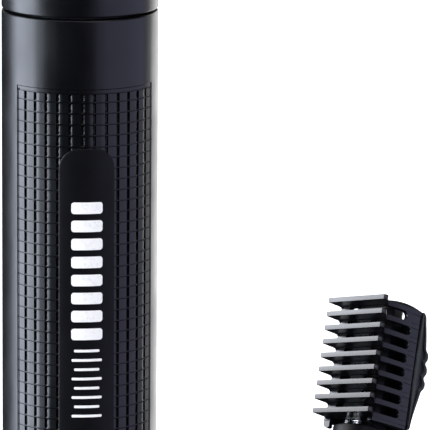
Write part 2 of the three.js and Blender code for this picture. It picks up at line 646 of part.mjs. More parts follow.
add("detail_skirt", detailSkirt(), satinBlack, detail);
add("detail_housing", detailHousing(), satinBlack, detail);
add("detail_fixed_blade", onComb(edgeCutter(2.7, DETAIL_FIXED_Y, [20.6, 41.4], 1, 1.35)), steel, detail);
add("detail_moving_blade", detailMovingBlade(), steel, detail);
add("detail_drive_rod", onComb(rod(1.1, [1, ROD_TOP], neckAt)), steel, detail);
add("guide_comb", guideComb(), mattBlack, detail);

export default model;
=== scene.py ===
"""Beard trimmer with its detail head: looks, floor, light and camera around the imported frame."""
import math

import bpy
from mathutils import Matrix, Vector


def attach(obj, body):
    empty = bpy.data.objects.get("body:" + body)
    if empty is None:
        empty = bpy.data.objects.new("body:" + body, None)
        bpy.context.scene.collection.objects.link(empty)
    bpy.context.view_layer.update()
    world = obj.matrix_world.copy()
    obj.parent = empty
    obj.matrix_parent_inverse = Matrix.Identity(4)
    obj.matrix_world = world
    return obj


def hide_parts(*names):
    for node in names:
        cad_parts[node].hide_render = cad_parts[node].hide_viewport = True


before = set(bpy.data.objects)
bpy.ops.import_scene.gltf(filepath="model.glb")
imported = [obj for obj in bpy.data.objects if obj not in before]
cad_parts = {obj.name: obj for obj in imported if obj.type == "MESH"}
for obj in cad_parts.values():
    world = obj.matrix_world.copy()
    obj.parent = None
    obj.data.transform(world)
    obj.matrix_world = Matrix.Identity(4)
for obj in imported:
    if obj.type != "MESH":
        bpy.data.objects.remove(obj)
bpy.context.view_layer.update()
MM = 0.001  # the dimensions below are in millimetres; only the studio lights use metres

# ---- driving dimensions: heights are above the floor, radii from the handle's or the skirt's axis ----
BODY_R = 16.0
TUBE_IN_R = 13.9
GRIP_LOW = 4.2
SEAM_Z = 119.0
SEAM_HALF = 0.2
EDGE_R = 0.45
ROUND_STEPS = 128

# the grip's grid of pads, whose top row is short
GRID = {"columns": 13, "pitch": 2.583, "bottom": 13.6, "rows": 40, "row": 2.267, "short": 0.45}
# across a slot, from its outer wall to the chamfer on the label's side: (offset from its middle, depth)
SLOT = [(-0.24, 0.0), (-0.2, 0.5), (0.17, 0.5), (0.2, 0.2), (0.48, 0.03), (0.54, 0.0)]
SLOT_END = [(0.12, 0.0), (0.3, 0.2), (0.4, 0.5)]  # (distance from the row line, depth)
LINE = {"half": 0.05, "ramp": 0.08, "depth": 0.13}  # a fine line and its sloping sides
LINE_REACH = LINE["half"] + LINE["ramp"]
BORDER = {"side": -0.4, "end": 0.8}  # the line round the grid, outwards from the grid's edges
PADS_NARROWER = 0.65  # the outer columns of pads end this far inside the grid's edges
PADS_MARGIN = 0.15
PAD_DROP = 0.16  # the grid lies this far below the handle's surface

LABEL = {"width": 11.7, "bottom": 26.0, "top": 92.7, "corner": 4.3, "rim": 0.24}
LABEL_TURN = -0.019  # the label sits this far (radians) to the left of the front line
LABEL_BASE_R = 15.3
LABEL_TOP_R = 16.0
MARK_R = (LABEL_TOP_R - 0.05, LABEL_TOP_R + 0.02)
MARK_LOW = 36.9
MARK_GAP = 0.6
MARK_RIM = 0.015
THIN_BARS = {"count": 8, "pitch": 1.95, "height": 0.55, "half": 3.1, "corner": 0.2, "shorter": 0.5}
WIDE_BARS = {"count": 8, "pitch": 3.74, "height": 2.4, "half": 3.2, "corner": 0.6, "shorter": 0}
LIGHT_Z = 17.0

COLLAR = {"inner": 13.4, "top": 128.6, "flutes": 60, "flute_depth": 0.28, "flute_points": 8}
HEAD = {"low": 129.3, "high": 148.0, "top_x": 16.8, "top_front": 4.4, "top_back": 8.2, "wall": 1.8}
SHOULDER = (133.0, 141.5)  # between these heights the head's front slopes back to the blades
HEAD_SHARPEN = 132.0  # from here up the head's round section turns into a flat one
HEAD_SQUARE = 0.55  # exponent of the section at the top; 1 is an ellipse
BLADE_AT = {"y": -4.2, "z": 147.0, "tilt": math.radians(18)}
BLADE_SEAT = {"x": (5.2, 15.3), "y": (0.8, 4.2), "z": (-6.6, -2)}
WINDOW_X = 15  # half width of the opening behind the blades
BLADE_SCREW = {"x": 10.5, "z": -3.6, "r": 1.1}
SPIGOT_R = 13.0
SPIGOT_TOP = 133.4
SOCKET_GAP = 0.7  # between the spigot and the sockets that fit over it

DETAIL_X = 56.9  # the detail head stands here, beside the handle
BEND_Z = 10.2  # height where its neck starts to lean
LEAN = math.radians(28.6)
LEAN_HEADING = math.radians(25.2)  # from +Y towards +X
COMB_TWIST = math.radians(-21.8)
NECK_R = 5.6
NECK_IN_COMB = (-8.0, 8.9)  # the neck's axis, seen from the comb's corner
SKIRT_TOP = 9.0
# the comb's own frame: u along the teeth's contact edges, v backwards from them, w along the neck
TOOTH = {"count": 9, "pitch": 3.04, "thick": 1.0, "first": 20.3, "length": 14.3}
SLEEVE = {"left": -14.1, "front": 4.1, "corner": -1.8, "back": 14.2, "wall": 1.1}
HEEL = (1.3, 12.9)
SUPPORT = {"left": -12.3, "right": -2.8, "front": 6.9, "back": 12.7, "low": 18.4, "high": 45.5}
BORE_R = 2.2
BORE_TOP = 38.6
CUTTER_X = -8.2
CUTTER_SLOT = {"half": 1.6, "low": 26, "high": 38}

scene = bpy.context.scene


# ---- small geometry tools: a solid is (points, faces) in millimetres ----
def merge(*solids):
    """Several solids as one."""
    points, faces = [], []
    for more_points, more_faces in solids:
        start = len(points)
        points += more_points
        faces += [[start + i for i in face] for face in more_faces]
    return points, faces


def shift(x, y, z):
    return Matrix.Translation((x, y, z))


def rotation(radians, axis):
    return Matrix.Rotation(radians, 4, axis)


def moved(solid, matrix):
    """Carries a solid by a matrix; a mirroring one also turns its faces."""
    points, faces = solid
    if matrix.determinant() < 0:
        faces = [face[::-1] for face in faces]
    return [tuple(matrix @ Vector(p)) for p in points], faces


def band(low, high):
    """Four-sided faces between two equal closed loops of point numbers."""
    count = len(low)
    return [[low[i], low[(i + 1) % count], high[(i + 1) % count], high[i]] for i in range(count)]


def skin(loops, closed):
    """Faces between each loop of point numbers and the next, and back to the first when closed."""
    following = loops[1:] + loops[:1] if closed else loops[1:]
    return [face for low, high in zip(loops, following) for face in band(low, high)]


def loops_of(rings):
    count = len(rings[0])
    return [range(r * count, (r + 1) * count) for r in range(len(rings))]


def rings_to_solid(rings, closed=False):
    """Skins equal rings of points, with flat ends, or as a torus when closed."""
    points = [tuple(p) for ring in rings for p in ring]
    loops = loops_of(rings)
    faces = skin(loops, closed)
    if not closed:
        faces += [list(loops[0])[::-1], list(loops[-1])]
    return points, faces


def inset(outline, distance):
    """Moves a counter-clockwise outline inwards by distance."""
    result = []
    count = len(outline)
    for i in range(count):
        before, here, after = outline[i - 1], outline[i], outline[(i + 1) % count]
        d0 = Vector((here[0] - before[0], here[1] - before[1])).normalized()
        d1 = Vector((after[0] - here[0], after[1] - here[1])).normalized()
        n0, n1 = Vector((-d0.y, d0.x)), Vector((-d1.y, d1.x))
        middle = (n0 + n1).normalized()
        reach = distance / max(0.35, middle.dot(n0))
        result.append((here[0] + middle.x * reach, here[1] + middle.y * reach))
    return result


def rounded(outline, radii, steps=6):
    """Rounds the corners of an outline; radii holds one radius for each corner."""
    result = []
    count = len(outline)
    for i in range(count):
        here = Vector(outline[i])
        radius = radii[i]
        if radius <= 0:
            result.append(tuple(here))
            continue
        to_before = (Vector(outline[i - 1]) - here).normalized()
        to_after = (Vector(outline[(i + 1) % count]) - here).normalized()
        half = to_before.angle(to_after) / 2
        centre = here + (to_before + to_after).normalized() * (radius / math.sin(half))
        start = here + to_before * (radius / math.tan(half)) - centre
        end = here + to_after * (radius / math.tan(half)) - centre
        sweep = start.angle_signed(end)
        for s in range(steps + 1):
            turn = Matrix.Rotation(-sweep * s / steps, 2)
            result.append(tuple(centre + turn @ start))
    return result


def rectangle(x0, y0, x1, y1):
    return [(x0, y0), (x1, y0), (x1, y1), (x0, y1)]


def prism(outline, low, high, edge=0.0, steps=3):
    """An outline raised from low to high, with rounded rims."""
    if not edge:
        return rings_to_solid([[(x, y, z) for x, y in outline] for z in (low, high)])
    turns = [s * math.pi / 2 / steps for s in range(steps + 1)]
    rims = [(edge * (1 - math.cos(t)), edge * (1 - math.sin(t))) for t in turns]
    levels = [(low + rise, inwards) for rise, inwards in rims]
    levels += [(high - rise, inwards) for rise, inwards in rims[::-1]]
    return rings_to_solid([[(x, y, z) for x, y in inset(outline, inwards)] for z, inwards in levels])


def box(x, y, z):
    """A block from three (low, high) pairs."""
    return prism(rectangle(x[0], y[0], x[1], y[1]), *z)


def turned(profile, steps=ROUND_STEPS, closed=False):
    """A profile of (radius, height) turned about Z; it starts and ends on the axis, or closes."""
    round_part = profile if closed else profile[1:-1]
    turns = [2 * math.pi * i / steps for i in range(steps)]
    rings = [[(r * math.cos(a), r * math.sin(a), z) for a in turns] for r, z in round_part]
    if closed:
        return rings_to_solid(rings, closed=True)
    loops = loops_of(rings)
    points = [p for ring in rings for p in ring]
    faces = skin(loops, False)
    for loop, (_, z), order in ((loops[0], profile[0], -1), (loops[-1], profile[-1], 1)):
        points.append((0, 0, z))
        tip = len(points) - 1
        faces += [[loop[i], loop[(i + 1) % steps], tip][::order] for i in range(steps)]
    return points, faces


def arc(centre, radius, start, end, steps=5):
    """Points of an arc in a profile, angles in degrees."""
    angles = [math.radians(start + (end - start) * s / steps) for s in range(steps + 1)]
    return [(centre[0] + radius * math.cos(a), centre[1] + radius * math.sin(a)) for a in angles]


def make(name, solid, material=None):
    """A Blender object from a solid."""
    points, faces = solid
    mesh = bpy.data.meshes.new(name)
    mesh.from_pydata([(x * MM, y * MM, z * MM) for x, y, z in points], [], faces)
    mesh.validate()
    mesh.update()
    obj = bpy.data.objects.new(name, mesh)
    scene.collection.objects.link(obj)
    if material:
        mesh.materials.append(material)
    return obj


def solid_of(obj):
    """The solid of a Blender object, which it removes."""
    solid = [tuple(v.co / MM) for v in obj.data.vertices], [list(p.vertices) for p in obj.data.polygons]
    bpy.data.objects.remove(obj)
    return solid


def apply_modifiers(obj):
    """Gives the object the mesh that its modifiers make."""
    bpy.context.view_layer.update()
    graph = bpy.context.evaluated_depsgraph_get()
    mesh = bpy.data.meshes.new_from_object(obj.evaluated_get(graph))
    old = obj.data
    obj.modifiers.clear()
    obj.data = mesh
    bpy.data.meshes.remove(old)


def carve(obj, operation, *solids):
    """Joins or cuts an object with solids, one after another."""
    tools = []
    for i, solid in enumerate(solids):
        tool = make(f"{obj.name}_tool_{i}", solid)
        step = obj.modifiers.new("carve", "BOOLEAN")
        step.operation = operation
        step.solver = "EXACT"
        step.object = tool
        tools.append(tool)
    apply_modifiers(obj)
    for tool in tools:
        mesh = tool.data
        bpy.data.objects.remove(tool)
        bpy.data.meshes.remove(mesh)


def soften(obj, width, angle):
    """Rounds the edges that are sharper than angle, and shades the faces smooth."""
    bevel = obj.modifiers.new("soft_edges", "BEVEL")
    bevel.width = width * MM
    bevel.segments = 2
    bevel.limit_method = "ANGLE"
    bevel.angle_limit = math.radians(angle)
    bevel.miter_outer = "MITER_ARC"
    shade(obj, weighted=True)
    return obj


def shade(obj, sharp=None, weighted=False):
    """Shades smooth, apart from edges over the angle sharp; weighted keeps flat faces flat."""
    obj.data.polygons.foreach_set("use_smooth", [True] * len(obj.data.polygons))
    if sharp:
        obj.data.set_sharp_from_angle(angle=math.radians(sharp))
    if weighted:
        normals = obj.modifiers.new("face_normals", "WEIGHTED_NORMAL")
        normals.keep_sharp = False
    return obj


def place(obj, body, slot, *replaced):
    """Hands a finished piece to the frame."""
    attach(obj, body)
    if replaced:
        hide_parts(*replaced)


# ---- materials ----
class Finish:
    """A node material: a Principled shader whose colour, roughness and normal carry fine detail."""

    def __init__(self, name, roughness, metallic=0.0, specular=0.5, coat=0.0):
        self.material = bpy.data.materials.new(name)
        self.material.use_nodes = True
        self.nodes = self.material.node_tree.nodes
        self.links = self.material.node_tree.links
        self.shader = self.nodes["Principled BSDF"]
        self.shader.inputs["Metallic"].default_value = metallic
        self.shader.inputs["Roughness"].default_value = roughness
        self.shader.inputs["Specular IOR Level"].default_value = specular
        self.shader.inputs["Coat Weight"].default_value = coat
        self.place = self.nodes.new("ShaderNodeTexCoord").outputs["Object"]

    def mapped(self, change, value):
        """The object's coordinates after a change: Scale or Rotation."""
        mapping = self.nodes.new("ShaderNodeMapping")
        mapping.inputs[change].default_value = value
        self.links.new(self.place, mapping.inputs["Vector"])
        return mapping.outputs["Vector"]

    def texture(self, kind, per_mm, where=None):
        node = self.nodes.new(kind)
        node.inputs["Scale"].default_value = per_mm / MM
        self.links.new(where or self.place, node.inputs["Vector"])
        return node

    def noise(self, per_mm, detail=3.0, where=None):
        node = self.texture("ShaderNodeTexNoise", per_mm, where)
        node.inputs["Detail"].default_value = detail
        return node.outputs["Fac"]

    def colour(self, value, dark, light, start=0.3, end=0.7):
        ramp = self.nodes.new("ShaderNodeValToRGB")
        ramp.color_ramp.elements[0].position = start
        ramp.color_ramp.elements[1].position = end
        ramp.color_ramp.elements[0].color = (*dark, 1)
        ramp.color_ramp.elements[1].color = (*light, 1)
        self.links.new(value, ramp.inputs["Fac"])
        self.links.new(ramp.outputs["Color"], self.shader.inputs["Base Color"])

    def roughness(self, value, low, high):
        node = self.nodes.new("ShaderNodeMapRange")
        for name, number in (("From Min", 0.3), ("From Max", 0.7), ("To Min", low), ("To Max", high)):
            node.inputs[name].default_value = number
        self.links.new(value, node.inputs["Value"])
        self.links.new(node.outputs["Result"], self.shader.inputs["Roughness"])

    def bump(self, value, strength, depth):
        node = self.nodes.new("ShaderNodeBump")
        node.inputs["Strength"].default_value = strength
        node.inputs["Distance"].default_value = depth * MM
        self.links.new(value, node.inputs["Height"])
        last = self.shader.inputs["Normal"]
        if last.is_linked:
            self.links.new(last.links[0].from_socket, node.inputs["Normal"])
        self.links.new(node.outputs["Normal"], last)


def moulded(name, dark, light, roughness, grain, strength=0.25, specular=0.5):
    """Moulded plastic: fine spark-eroded grain, a little mottling and handling gloss."""
    finish = Finish(name, roughness, specular=specular)
    finish.colour(finish.noise(0.35, 4), dark, light)
    finish.roughness(finish.noise(0.12, 5), roughness - 0.04, roughness + 0.05)
    finish.bump(finish.noise(grain, 4), strength, 0.02)
    finish.bump(finish.noise(0.25, 2), 0.12, 0.06)
    return finish.material


def brushed(name, dark, light, roughness, stretch):
    """Metal ground or drawn in one direction, with hairlines along it."""
    finish = Finish(name, roughness, metallic=1.0)
    finish.shader.inputs["Anisotropic"].default_value = 0.35
    along = finish.mapped("Scale", stretch)
    lines = finish.noise(6.0, 6, along)
    finish.colour(lines, dark, light)
    finish.roughness(finish.noise(2.0, 4, along), roughness - 0.06, roughness + 0.1)
    finish.bump(lines, 0.18, 0.01)
    return finish.material


CASE_TONES = (0.0009, 0.0010, 0.0014), (0.0014, 0.0015, 0.0021)
LABEL_TONES = (0.0016, 0.0016, 0.0021), (0.0024, 0.0025, 0.0032)
COMB_TONES = (0.0016, 0.0018, 0.0030), (0.0024, 0.0028, 0.0044)
satin_black = moulded("satin_black", *CASE_TONES, 0.34, grain=2.6, strength=0.32)
label_black = moulded("label_black", *LABEL_TONES, 0.52, grain=7.0, strength=0.1, specular=0.27)
neck_black = moulded("neck_black", *CASE_TONES, 0.46, grain=3.0, strength=0.2, specular=0.2)
comb_black = moulded("comb_black", *COMB_TONES, 0.30, grain=3.5, strength=0.16)
inner_plastic = moulded("inner_plastic", (0.045, 0.048, 0.055), (0.062, 0.066, 0.074), 0.55, grain=3.0)
seal_rubber = moulded("seal_rubber", (0.008,) * 3, (0.013,) * 3, 0.75, grain=2.0, strength=0.4)
blade_steel = brushed("blade_steel", (0.46, 0.47, 0.49), (0.66, 0.67, 0.70), 0.24, (1.0, 1.0, 0.05))
# a near-black copy of the brushed steel: painted shade standing in for the shadow inside the comb around
# the detail cutter
painted_shade_steel = brushed("painted_shade_steel", (0.010, 0.011, 0.013), (0.045, 0.047, 0.052), 0.3, (1.0, 1.0, 0.05))
bright_steel = brushed("bright_steel", (0.55, 0.56, 0.58), (0.72, 0.73, 0.75), 0.2, (1.0, 1.0, 0.08))
screw_steel = brushed("screw_steel", (0.20, 0.21, 0.23), (0.34, 0.35, 0.37), 0.34, (1.0, 0.2, 1.0))
nickel_strip = brushed("nickel_strip", (0.50, 0.49, 0.46), (0.66, 0.65, 0.61), 0.3, (0.1, 1.0, 1.0))


def print_white():
    """Ink of the label's mark, a little uneven."""
    finish = Finish("label_print", 0.5)
    finish.colour(finish.noise(1.6, 5), (0.80, 0.80, 0.80), (0.93, 0.93, 0.92), 0.25, 0.5)
    finish.roughness(finish.noise(3.0, 3), 0.42, 0.6)
    finish.bump(finish.noise(6.0, 3), 0.15, 0.01)
    return finish.material


def magnet():
    """Sintered grey metal."""
    finish = Finish("magnet_grey", 0.4, metallic=1.0)
    cells = finish.texture("ShaderNodeTexVoronoi", 3.0).outputs["Distance"]
    finish.colour(cells, (0.16, 0.165, 0.18), (0.26, 0.27, 0.29), 0.05, 0.6)
    finish.roughness(finish.noise(2.0), 0.32, 0.5)
    finish.bump(cells, 0.12, 0.02)
    return finish.material


def shrink_wrap():
    """The cell's glossy sleeve, creased round it."""
    finish = Finish("cell_wrap", 0.35, coat=0.3)
    finish.colour(finish.noise(0.2, 3), (0.018, 0.13, 0.062), (0.03, 0.19, 0.09))
    finish.roughness(finish.noise(0.6, 4), 0.26, 0.42)
    finish.bump(finish.noise(0.5, 3, finish.mapped("Scale", (1, 1, 0.25))), 0.3, 0.05)
    return finish.material


def board():
    """Green solder mask over a grid of tracks."""
    finish = Finish("board_green", 0.4, coat=0.2)
    upright = finish.mapped("Rotation", (math.pi / 2, 0, 0))
    tracks = finish.texture("ShaderNodeTexBrick", 0.35, upright)
    tracks.inputs["Mortar Size"].default_value = 0.03
    tracks.inputs["Color1"].default_value = (0.010, 0.085, 0.035, 1)
    tracks.inputs["Color2"].default_value = (0.014, 0.105, 0.045, 1)
    tracks.inputs["Mortar"].default_value = (0.035, 0.17, 0.07, 1)
    finish.links.new(tracks.outputs["Color"], finish.shader.inputs["Base Color"])
    finish.roughness(finish.noise(1.5), 0.3, 0.5)
    finish.bump(tracks.outputs["Fac"], 0.3, 0.03)
    return finish.material


def lens():
    """Clear plastic, slightly frosted."""
    finish = Finish("clear_light", 0.18)
    finish.shader.inputs["Transmission Weight"].default_value = 0.55
    finish.colour(finish.noise(0.8), (0.62, 0.68, 0.70), (0.80, 0.84, 0.86))
    finish.roughness(finish.noise(2.0), 0.12, 0.26)
    finish.bump(finish.noise(3.0), 0.08, 0.02)
    return finish.material


label_print = print_white()
magnet_grey = magnet()
cell_wrap = shrink_wrap()
board_green = board()
clear_light = lens()


# ---- grip sleeve: square pads between dark slots, on the front two thirds ----
def on_line(distance):
    """1 on a fine line, 0 beside it, sloping in between."""
    return min(1.0, max(0.0, (LINE_REACH - abs(distance)) / LINE["ramp"]))


def along_line(table, value):
    """Reads a table of (position, height) at a value, straight between its rows."""
    if value <= table[0][0]:
        return table[0][1]
    for (x0, y0), (x1, y1) in zip(table, table[1:]):
        if value <= x1:
            return y0 + (y1 - y0) * (value - x0) / (x1 - x0)
    return table[-1][1]


GRID_HALF = GRID["columns"] * GRID["pitch"] / 2
GRID_LOW = GRID["bottom"]
GRID_HIGH = GRID_LOW + GRID["rows"] * GRID["row"] - GRID["short"]
SLOT_LINES = [k * GRID["pitch"] - GRID_HALF for k in range(1, GRID["columns"])]
ROW_LINES = [GRID_LOW + j * GRID["row"] for j in range(GRID["rows"])] + [GRID_HIGH]
PADS_SIDE = GRID_HALF - PADS_NARROWER
BORDER_SIDE = GRID_HALF + BORDER["side"]
BORDER_MIDDLE = (GRID_LOW + GRID_HIGH) / 2
BORDER_HALF = (GRID_HIGH - GRID_LOW) / 2 + BORDER["end"]


def grip_depth(a, z):
    """How deep the grip lies at an arc length from the front line and a height."""
    outside = max(abs(a) - BORDER_SIDE, abs(z - BORDER_MIDDLE) - BORDER_HALF)
    if outside > LINE_REACH:
        return 0.0
    deep = LINE["depth"] * on_line(outside)
    if outside > 0:
        return deep
    deep = max(deep, PAD_DROP)
    if abs(a) > PADS_SIDE + PADS_MARGIN or not GRID_LOW - PADS_MARGIN < z < GRID_HIGH + PADS_MARGIN:
        return deep
    nearest = min(SLOT_LINES, key=lambda c: abs(a - c))
    column = (a - nearest) * (1 if nearest < 0 else -1)
    row = min(abs(z - r) for r in ROW_LINES)
    thin = max(on_line(row), on_line(abs(a) - PADS_SIDE))
    slot = min(along_line(SLOT, column), along_line(SLOT_END, row)) if GRID_LOW < z < GRID_HIGH else 0.0
    return max(deep, PAD_DROP + max(LINE["depth"] * thin, slot))


def around(centre, offsets):
    return [centre + s * o for o in offsets for s in (-1, 1)]


def thinned(values, least=0.02):
    """The values in order, without those that lie closer than least to the one before."""
    kept = []
    for value in sorted(values):
        if not kept or value - kept[-1] > least:
            kept.append(value)
    return kept


def grip_arcs():
    """Where the sleeve's points lie round the handle: close at every line, wide at the back."""
    line_sides = (LINE["half"], LINE_REACH)
    back_steps, back_start = 56, BORDER_SIDE + 0.6
    back_arc = 2 * math.pi * BODY_R - 2 * back_start
    arcs = [c + (x if c < 0 else -x) for c in SLOT_LINES for x, _ in SLOT]
    arcs += [a for c in (-PADS_SIDE, PADS_SIDE) for a in around(c, line_sides)]
    arcs += [a for c in (-BORDER_SIDE, BORDER_SIDE) for a in around(c, (*line_sides, 0.25))]
    arcs += [c - GRID["pitch"] / 2 for c in SLOT_LINES] + [SLOT_LINES[-1] + GRID["pitch"] / 2]
    arcs += [back_start + back_arc * s / back_steps for s in range(back_steps)]
    return thinned([*arcs, -back_start])


def grip_heights():
    line_sides = (LINE["half"], LINE_REACH)
    slot_ends = [z for z, _ in SLOT_END[1:]]
    heights = [z for r in ROW_LINES for z in around(r, [*line_sides, *slot_ends])]
    for end in (-1, 1):
        heights += around(BORDER_MIDDLE + end * BORDER_HALF, (*line_sides, 0.25))
    heights += [r + GRID["row"] / 2 for r in ROW_LINES[:-1]]
    return thinned([*heights, 9.0, 108.0, 112.0])


def grip_sleeve():
    """The handle's outer tube; its outside carries the grid."""
    low, high, side = GRIP_LOW, SEAM_Z - SEAM_HALF, BODY_R - EDGE_R
    profile = [(TUBE_IN_R, low), *arc((side, low + EDGE_R), EDGE_R, -90, 0)]
    profile += [(None, z) for z in grip_heights()]
    profile += [*arc((side, high - EDGE_R), EDGE_R, 0, 90), (TUBE_IN_R, high)]
    arcs = grip_arcs()
    rings = []
    for radius, z in profile:
        ring = []
        for a in arcs:
            angle = a / BODY_R - math.pi / 2
            r = BODY_R - grip_depth(a, z) if radius is None else radius
            ring.append((r * math.cos(angle), r * math.sin(angle), z))
        rings.append(ring)
    return rings_to_solid(rings, closed=True)


grip = shade(make("grip_sleeve", grip_sleeve(), satin_black), sharp=50)
place(grip, "handle", "satin_black", "grip_tube")


# ---- label: a curved plate with a bevelled rim, and a plain mark of bars ----
def curved_panel(half_width, bottom, top, corner, radii, rim, columns=16):
    """A round-cornered panel wrapped on the handle's front, between two radii; its rim is rounded."""
    base_r, top_r = radii
    width = columns + 1

    def grid(shrink, radius):
        half, low, high = half_width - shrink, bottom + shrink, top - shrink
        c = corner - shrink
        turns = [math.pi / 2 * s / 7 for s in range(8)]
        lines = [(low + c * (1 - math.cos(t)), half - c + c * math.sin(t)) for t in turns]
        lines += [(high - c * (1 - math.cos(t)), half - c + c * math.sin(t)) for t in turns[::-1]]
        rows = []
        for z, reach in lines:
            arcs = [reach * (2 * i / columns - 1) for i in range(width)]
            angles = [a / BODY_R - math.pi / 2 + LABEL_TURN for a in arcs]
            rows.append([(radius * math.cos(a), radius * math.sin(a), z) for a in angles])
        return rows

    def loop(rows):
        return rows[0] + [r[-1] for r in rows[1:-1]] + rows[-1][::-1] + [r[0] for r in rows[-2:0:-1]]

    points, faces = [], []

    def add_face(rows, flip):
        """Adds a whole face of the panel and returns the point numbers of its edge."""
        start = len(points)
        points.extend(p for row in rows for p in row)
        numbers = [[start + r * width + i for i in range(width)] for r in range(len(rows))]
        for low, high in zip(numbers, numbers[1:]):
            for i in range(columns):
                quad = [low[i], low[i + 1], high[i + 1], high[i]]
                faces.append(quad[::-1] if flip else quad)
        return loop(numbers)

    levels = [(0.0, top_r - rim)]
    levels += [(rim * (1 - math.cos(t)), top_r - rim * (1 - math.sin(t))) for t in (0.5, 1.0, 1.3)]
    previous = add_face(grid(0.0, base_r), True)
    for shrink, radius in levels:
        start = len(points)
        points.extend(loop(grid(shrink, radius)))
        current = range(start, len(points))
        faces += band(previous, current)
        previous = current
    faces += band(previous, add_face(grid(rim * 1.1, top_r), False))
    return points, faces


def label_panel():
    size = LABEL["width"] / 2, LABEL["bottom"], LABEL["top"], LABEL["corner"]
    return curved_panel(*size, (LABEL_BASE_R, LABEL_TOP_R), LABEL["rim"])


def label_mark():
    """Thin bars of two lengths, and wide bars above them."""
    bars = []
    low = MARK_LOW
    for kind in (THIN_BARS, WIDE_BARS):
        for i in range(kind["count"]):
            half = kind["half"] - kind["shorter"] * (i % 2)
            bottom = low + i * kind["pitch"]
            top = bottom + kind["height"]
            bars.append(curved_panel(half, bottom, top, kind["corner"], MARK_R, MARK_RIM, 10))
        low += kind["count"] * kind["pitch"] + MARK_GAP
    return merge(*bars)


label = shade(make("label_panel", label_panel(), label_black), sharp=60)
place(label, "handle", "label_black", "label_plate")
place(shade(make("label_mark", label_mark(), label_print), sharp=50), "handle", "label_print")


# ---- status lens ----
def status_lens():
    """The front end of the light pipe, turned about its own axis; here a height is a reach forwards."""
    profile = [(0, 11.5), (0.85, 11.5), (0.85, 15.6), (1.05, 15.62), (1.05, 15.86)]
    profile += [(0.98, 15.93), (0.7, 15.97), (0.4, 15.99), (0, 16.0)]
    return moved(turned(profile, 32), shift(0, 0, LIGHT_Z) @ rotation(math.pi / 2, "X"))


lens_piece = shade(make("status_lens", status_lens(), clear_light), sharp=40)
place(lens_piece, "handle", "clear_light", "light_pipe")


# ---- bottom cap ----
def bottom_cap():
    """A cup with a rounded rim, a charging port, two screw holes and a shallow ring groove underneath."""
    profile = [(0, 0), *arc((BODY_R - 1, 1), 1, -90, 0, 6), *arc((BODY_R - 0.2, 3.75), 0.2, 0, 90, 3)]
    profile += [(13.6, 3.95), (13.6, 7.8), (13.4, 8), (12, 8), (11.8, 7.8), (11.8, 3), (0, 3)]
    cap = make("bottom_cover", turned(profile), satin_black)
    port = prism(rounded(rectangle(-4.8, 5.6, 4.8, 9.4), [1.2] * 4), -1, 5)
    screw_hole = turned([(0, -1), (2.7, -1), (2.7, 1.9), (1.5, 1.9), (1.5, 5), (0, 5)], 48)
    holes = [moved(screw_hole, shift(x, 0, 0)) for x in (-9.5, 9.5)]
    ring = turned([(12.9, -1), (13.6, -1), (13.6, 0.25), (12.9, 0.25)], closed=True)
    carve(cap, "DIFFERENCE", merge(port, *holes), ring)
    return soften(cap, 0.12, angle=40)


place(bottom_cap(), "handle", "satin_black", "bottom_cap")


# ---- power collar: plain below, finely fluted above ----
def collar():
    """A ring whose flutes fade in and out; each level is (radius, height, share of the flutes' depth)."""
    low, high, inner = SEAM_Z + SEAM_HALF, COLLAR["top"], COLLAR["inner"]
    side, chamfer = BODY_R - EDGE_R, 0.2
    levels = [(r, z, 0) for r, z in arc((side, low + EDGE_R), EDGE_R, -90, 0)]
    levels += [(BODY_R, 124.3, 0), (BODY_R, 124.5, 0), (BODY_R, 124.65, 0.3), (BODY_R, 124.9, 0.8)]
    levels += [(BODY_R, 125.2, 1), (BODY_R, 127.3, 1)]
    levels += [(BODY_R, 127.6, 0.8), (BODY_R, 127.85, 0.3), (BODY_R, 128.0, 0)]
    levels += [(r, z, 0) for r, z in arc((side, high - EDGE_R), EDGE_R, 0, 90)]
    levels += [(inner + chamfer, high, 0), (inner, high - chamfer, 0)]
    levels += [(inner, low + chamfer, 0), (inner + chamfer, low, 0)]
    steps = COLLAR["flutes"] * COLLAR["flute_points"]
    turns = [2 * math.pi * i / steps for i in range(steps)]
    waves = [(0.5 - 0.5 * math.cos(COLLAR["flutes"] * a)) ** 0.7 for a in turns]
    rings = []
    for radius, z, share in levels:
        reaches = [radius - COLLAR["flute_depth"] * share * wave for wave in waves]
        rings.append([(r * math.cos(a), r * math.sin(a), z) for r, a in zip(reaches, turns)])
    return rings_to_solid(rings, closed=True)


place(shade(make("twist_collar", collar(), satin_black), sharp=50), "collar", "satin_black", "power_collar")


# ---- beard head housing ----
def smooth_step(value, low, high):
    """0 below low, 1 above high, with a smooth rise in between."""
    t = min(1.0, max(0.0, (value - low) / (high - low)))
    return t * t * (3 - 2 * t)


def head_ring(z, inwards):
    """One level of the head: round below, and flat and square-cornered under the blades."""
    sharpened = smooth_step(z, HEAD_SHARPEN, HEAD["high"])
    sloped = smooth_step(z, *SHOULDER)
    power = 1 + (HEAD_SQUARE - 1) * sharpened
    half_x = BODY_R + (HEAD["top_x"] - BODY_R) * sharpened - inwards
    half_front = BODY_R + (HEAD["top_front"] - BODY_R) * sloped - inwards
    half_back = BODY_R + (HEAD["top_back"] - BODY_R) * sharpened - inwards
    ring = []
    for i in range(ROUND_STEPS):
        a = 2 * math.pi * i / ROUND_STEPS
        c, s = math.cos(a), math.sin(a)
        half_y = half_front if s < 0 else half_back
        x, y = math.copysign(abs(c) ** power, c) * half_x, math.copysign(abs(s) ** power, s) * half_y
        ring.append((x, y, z))
    return ring


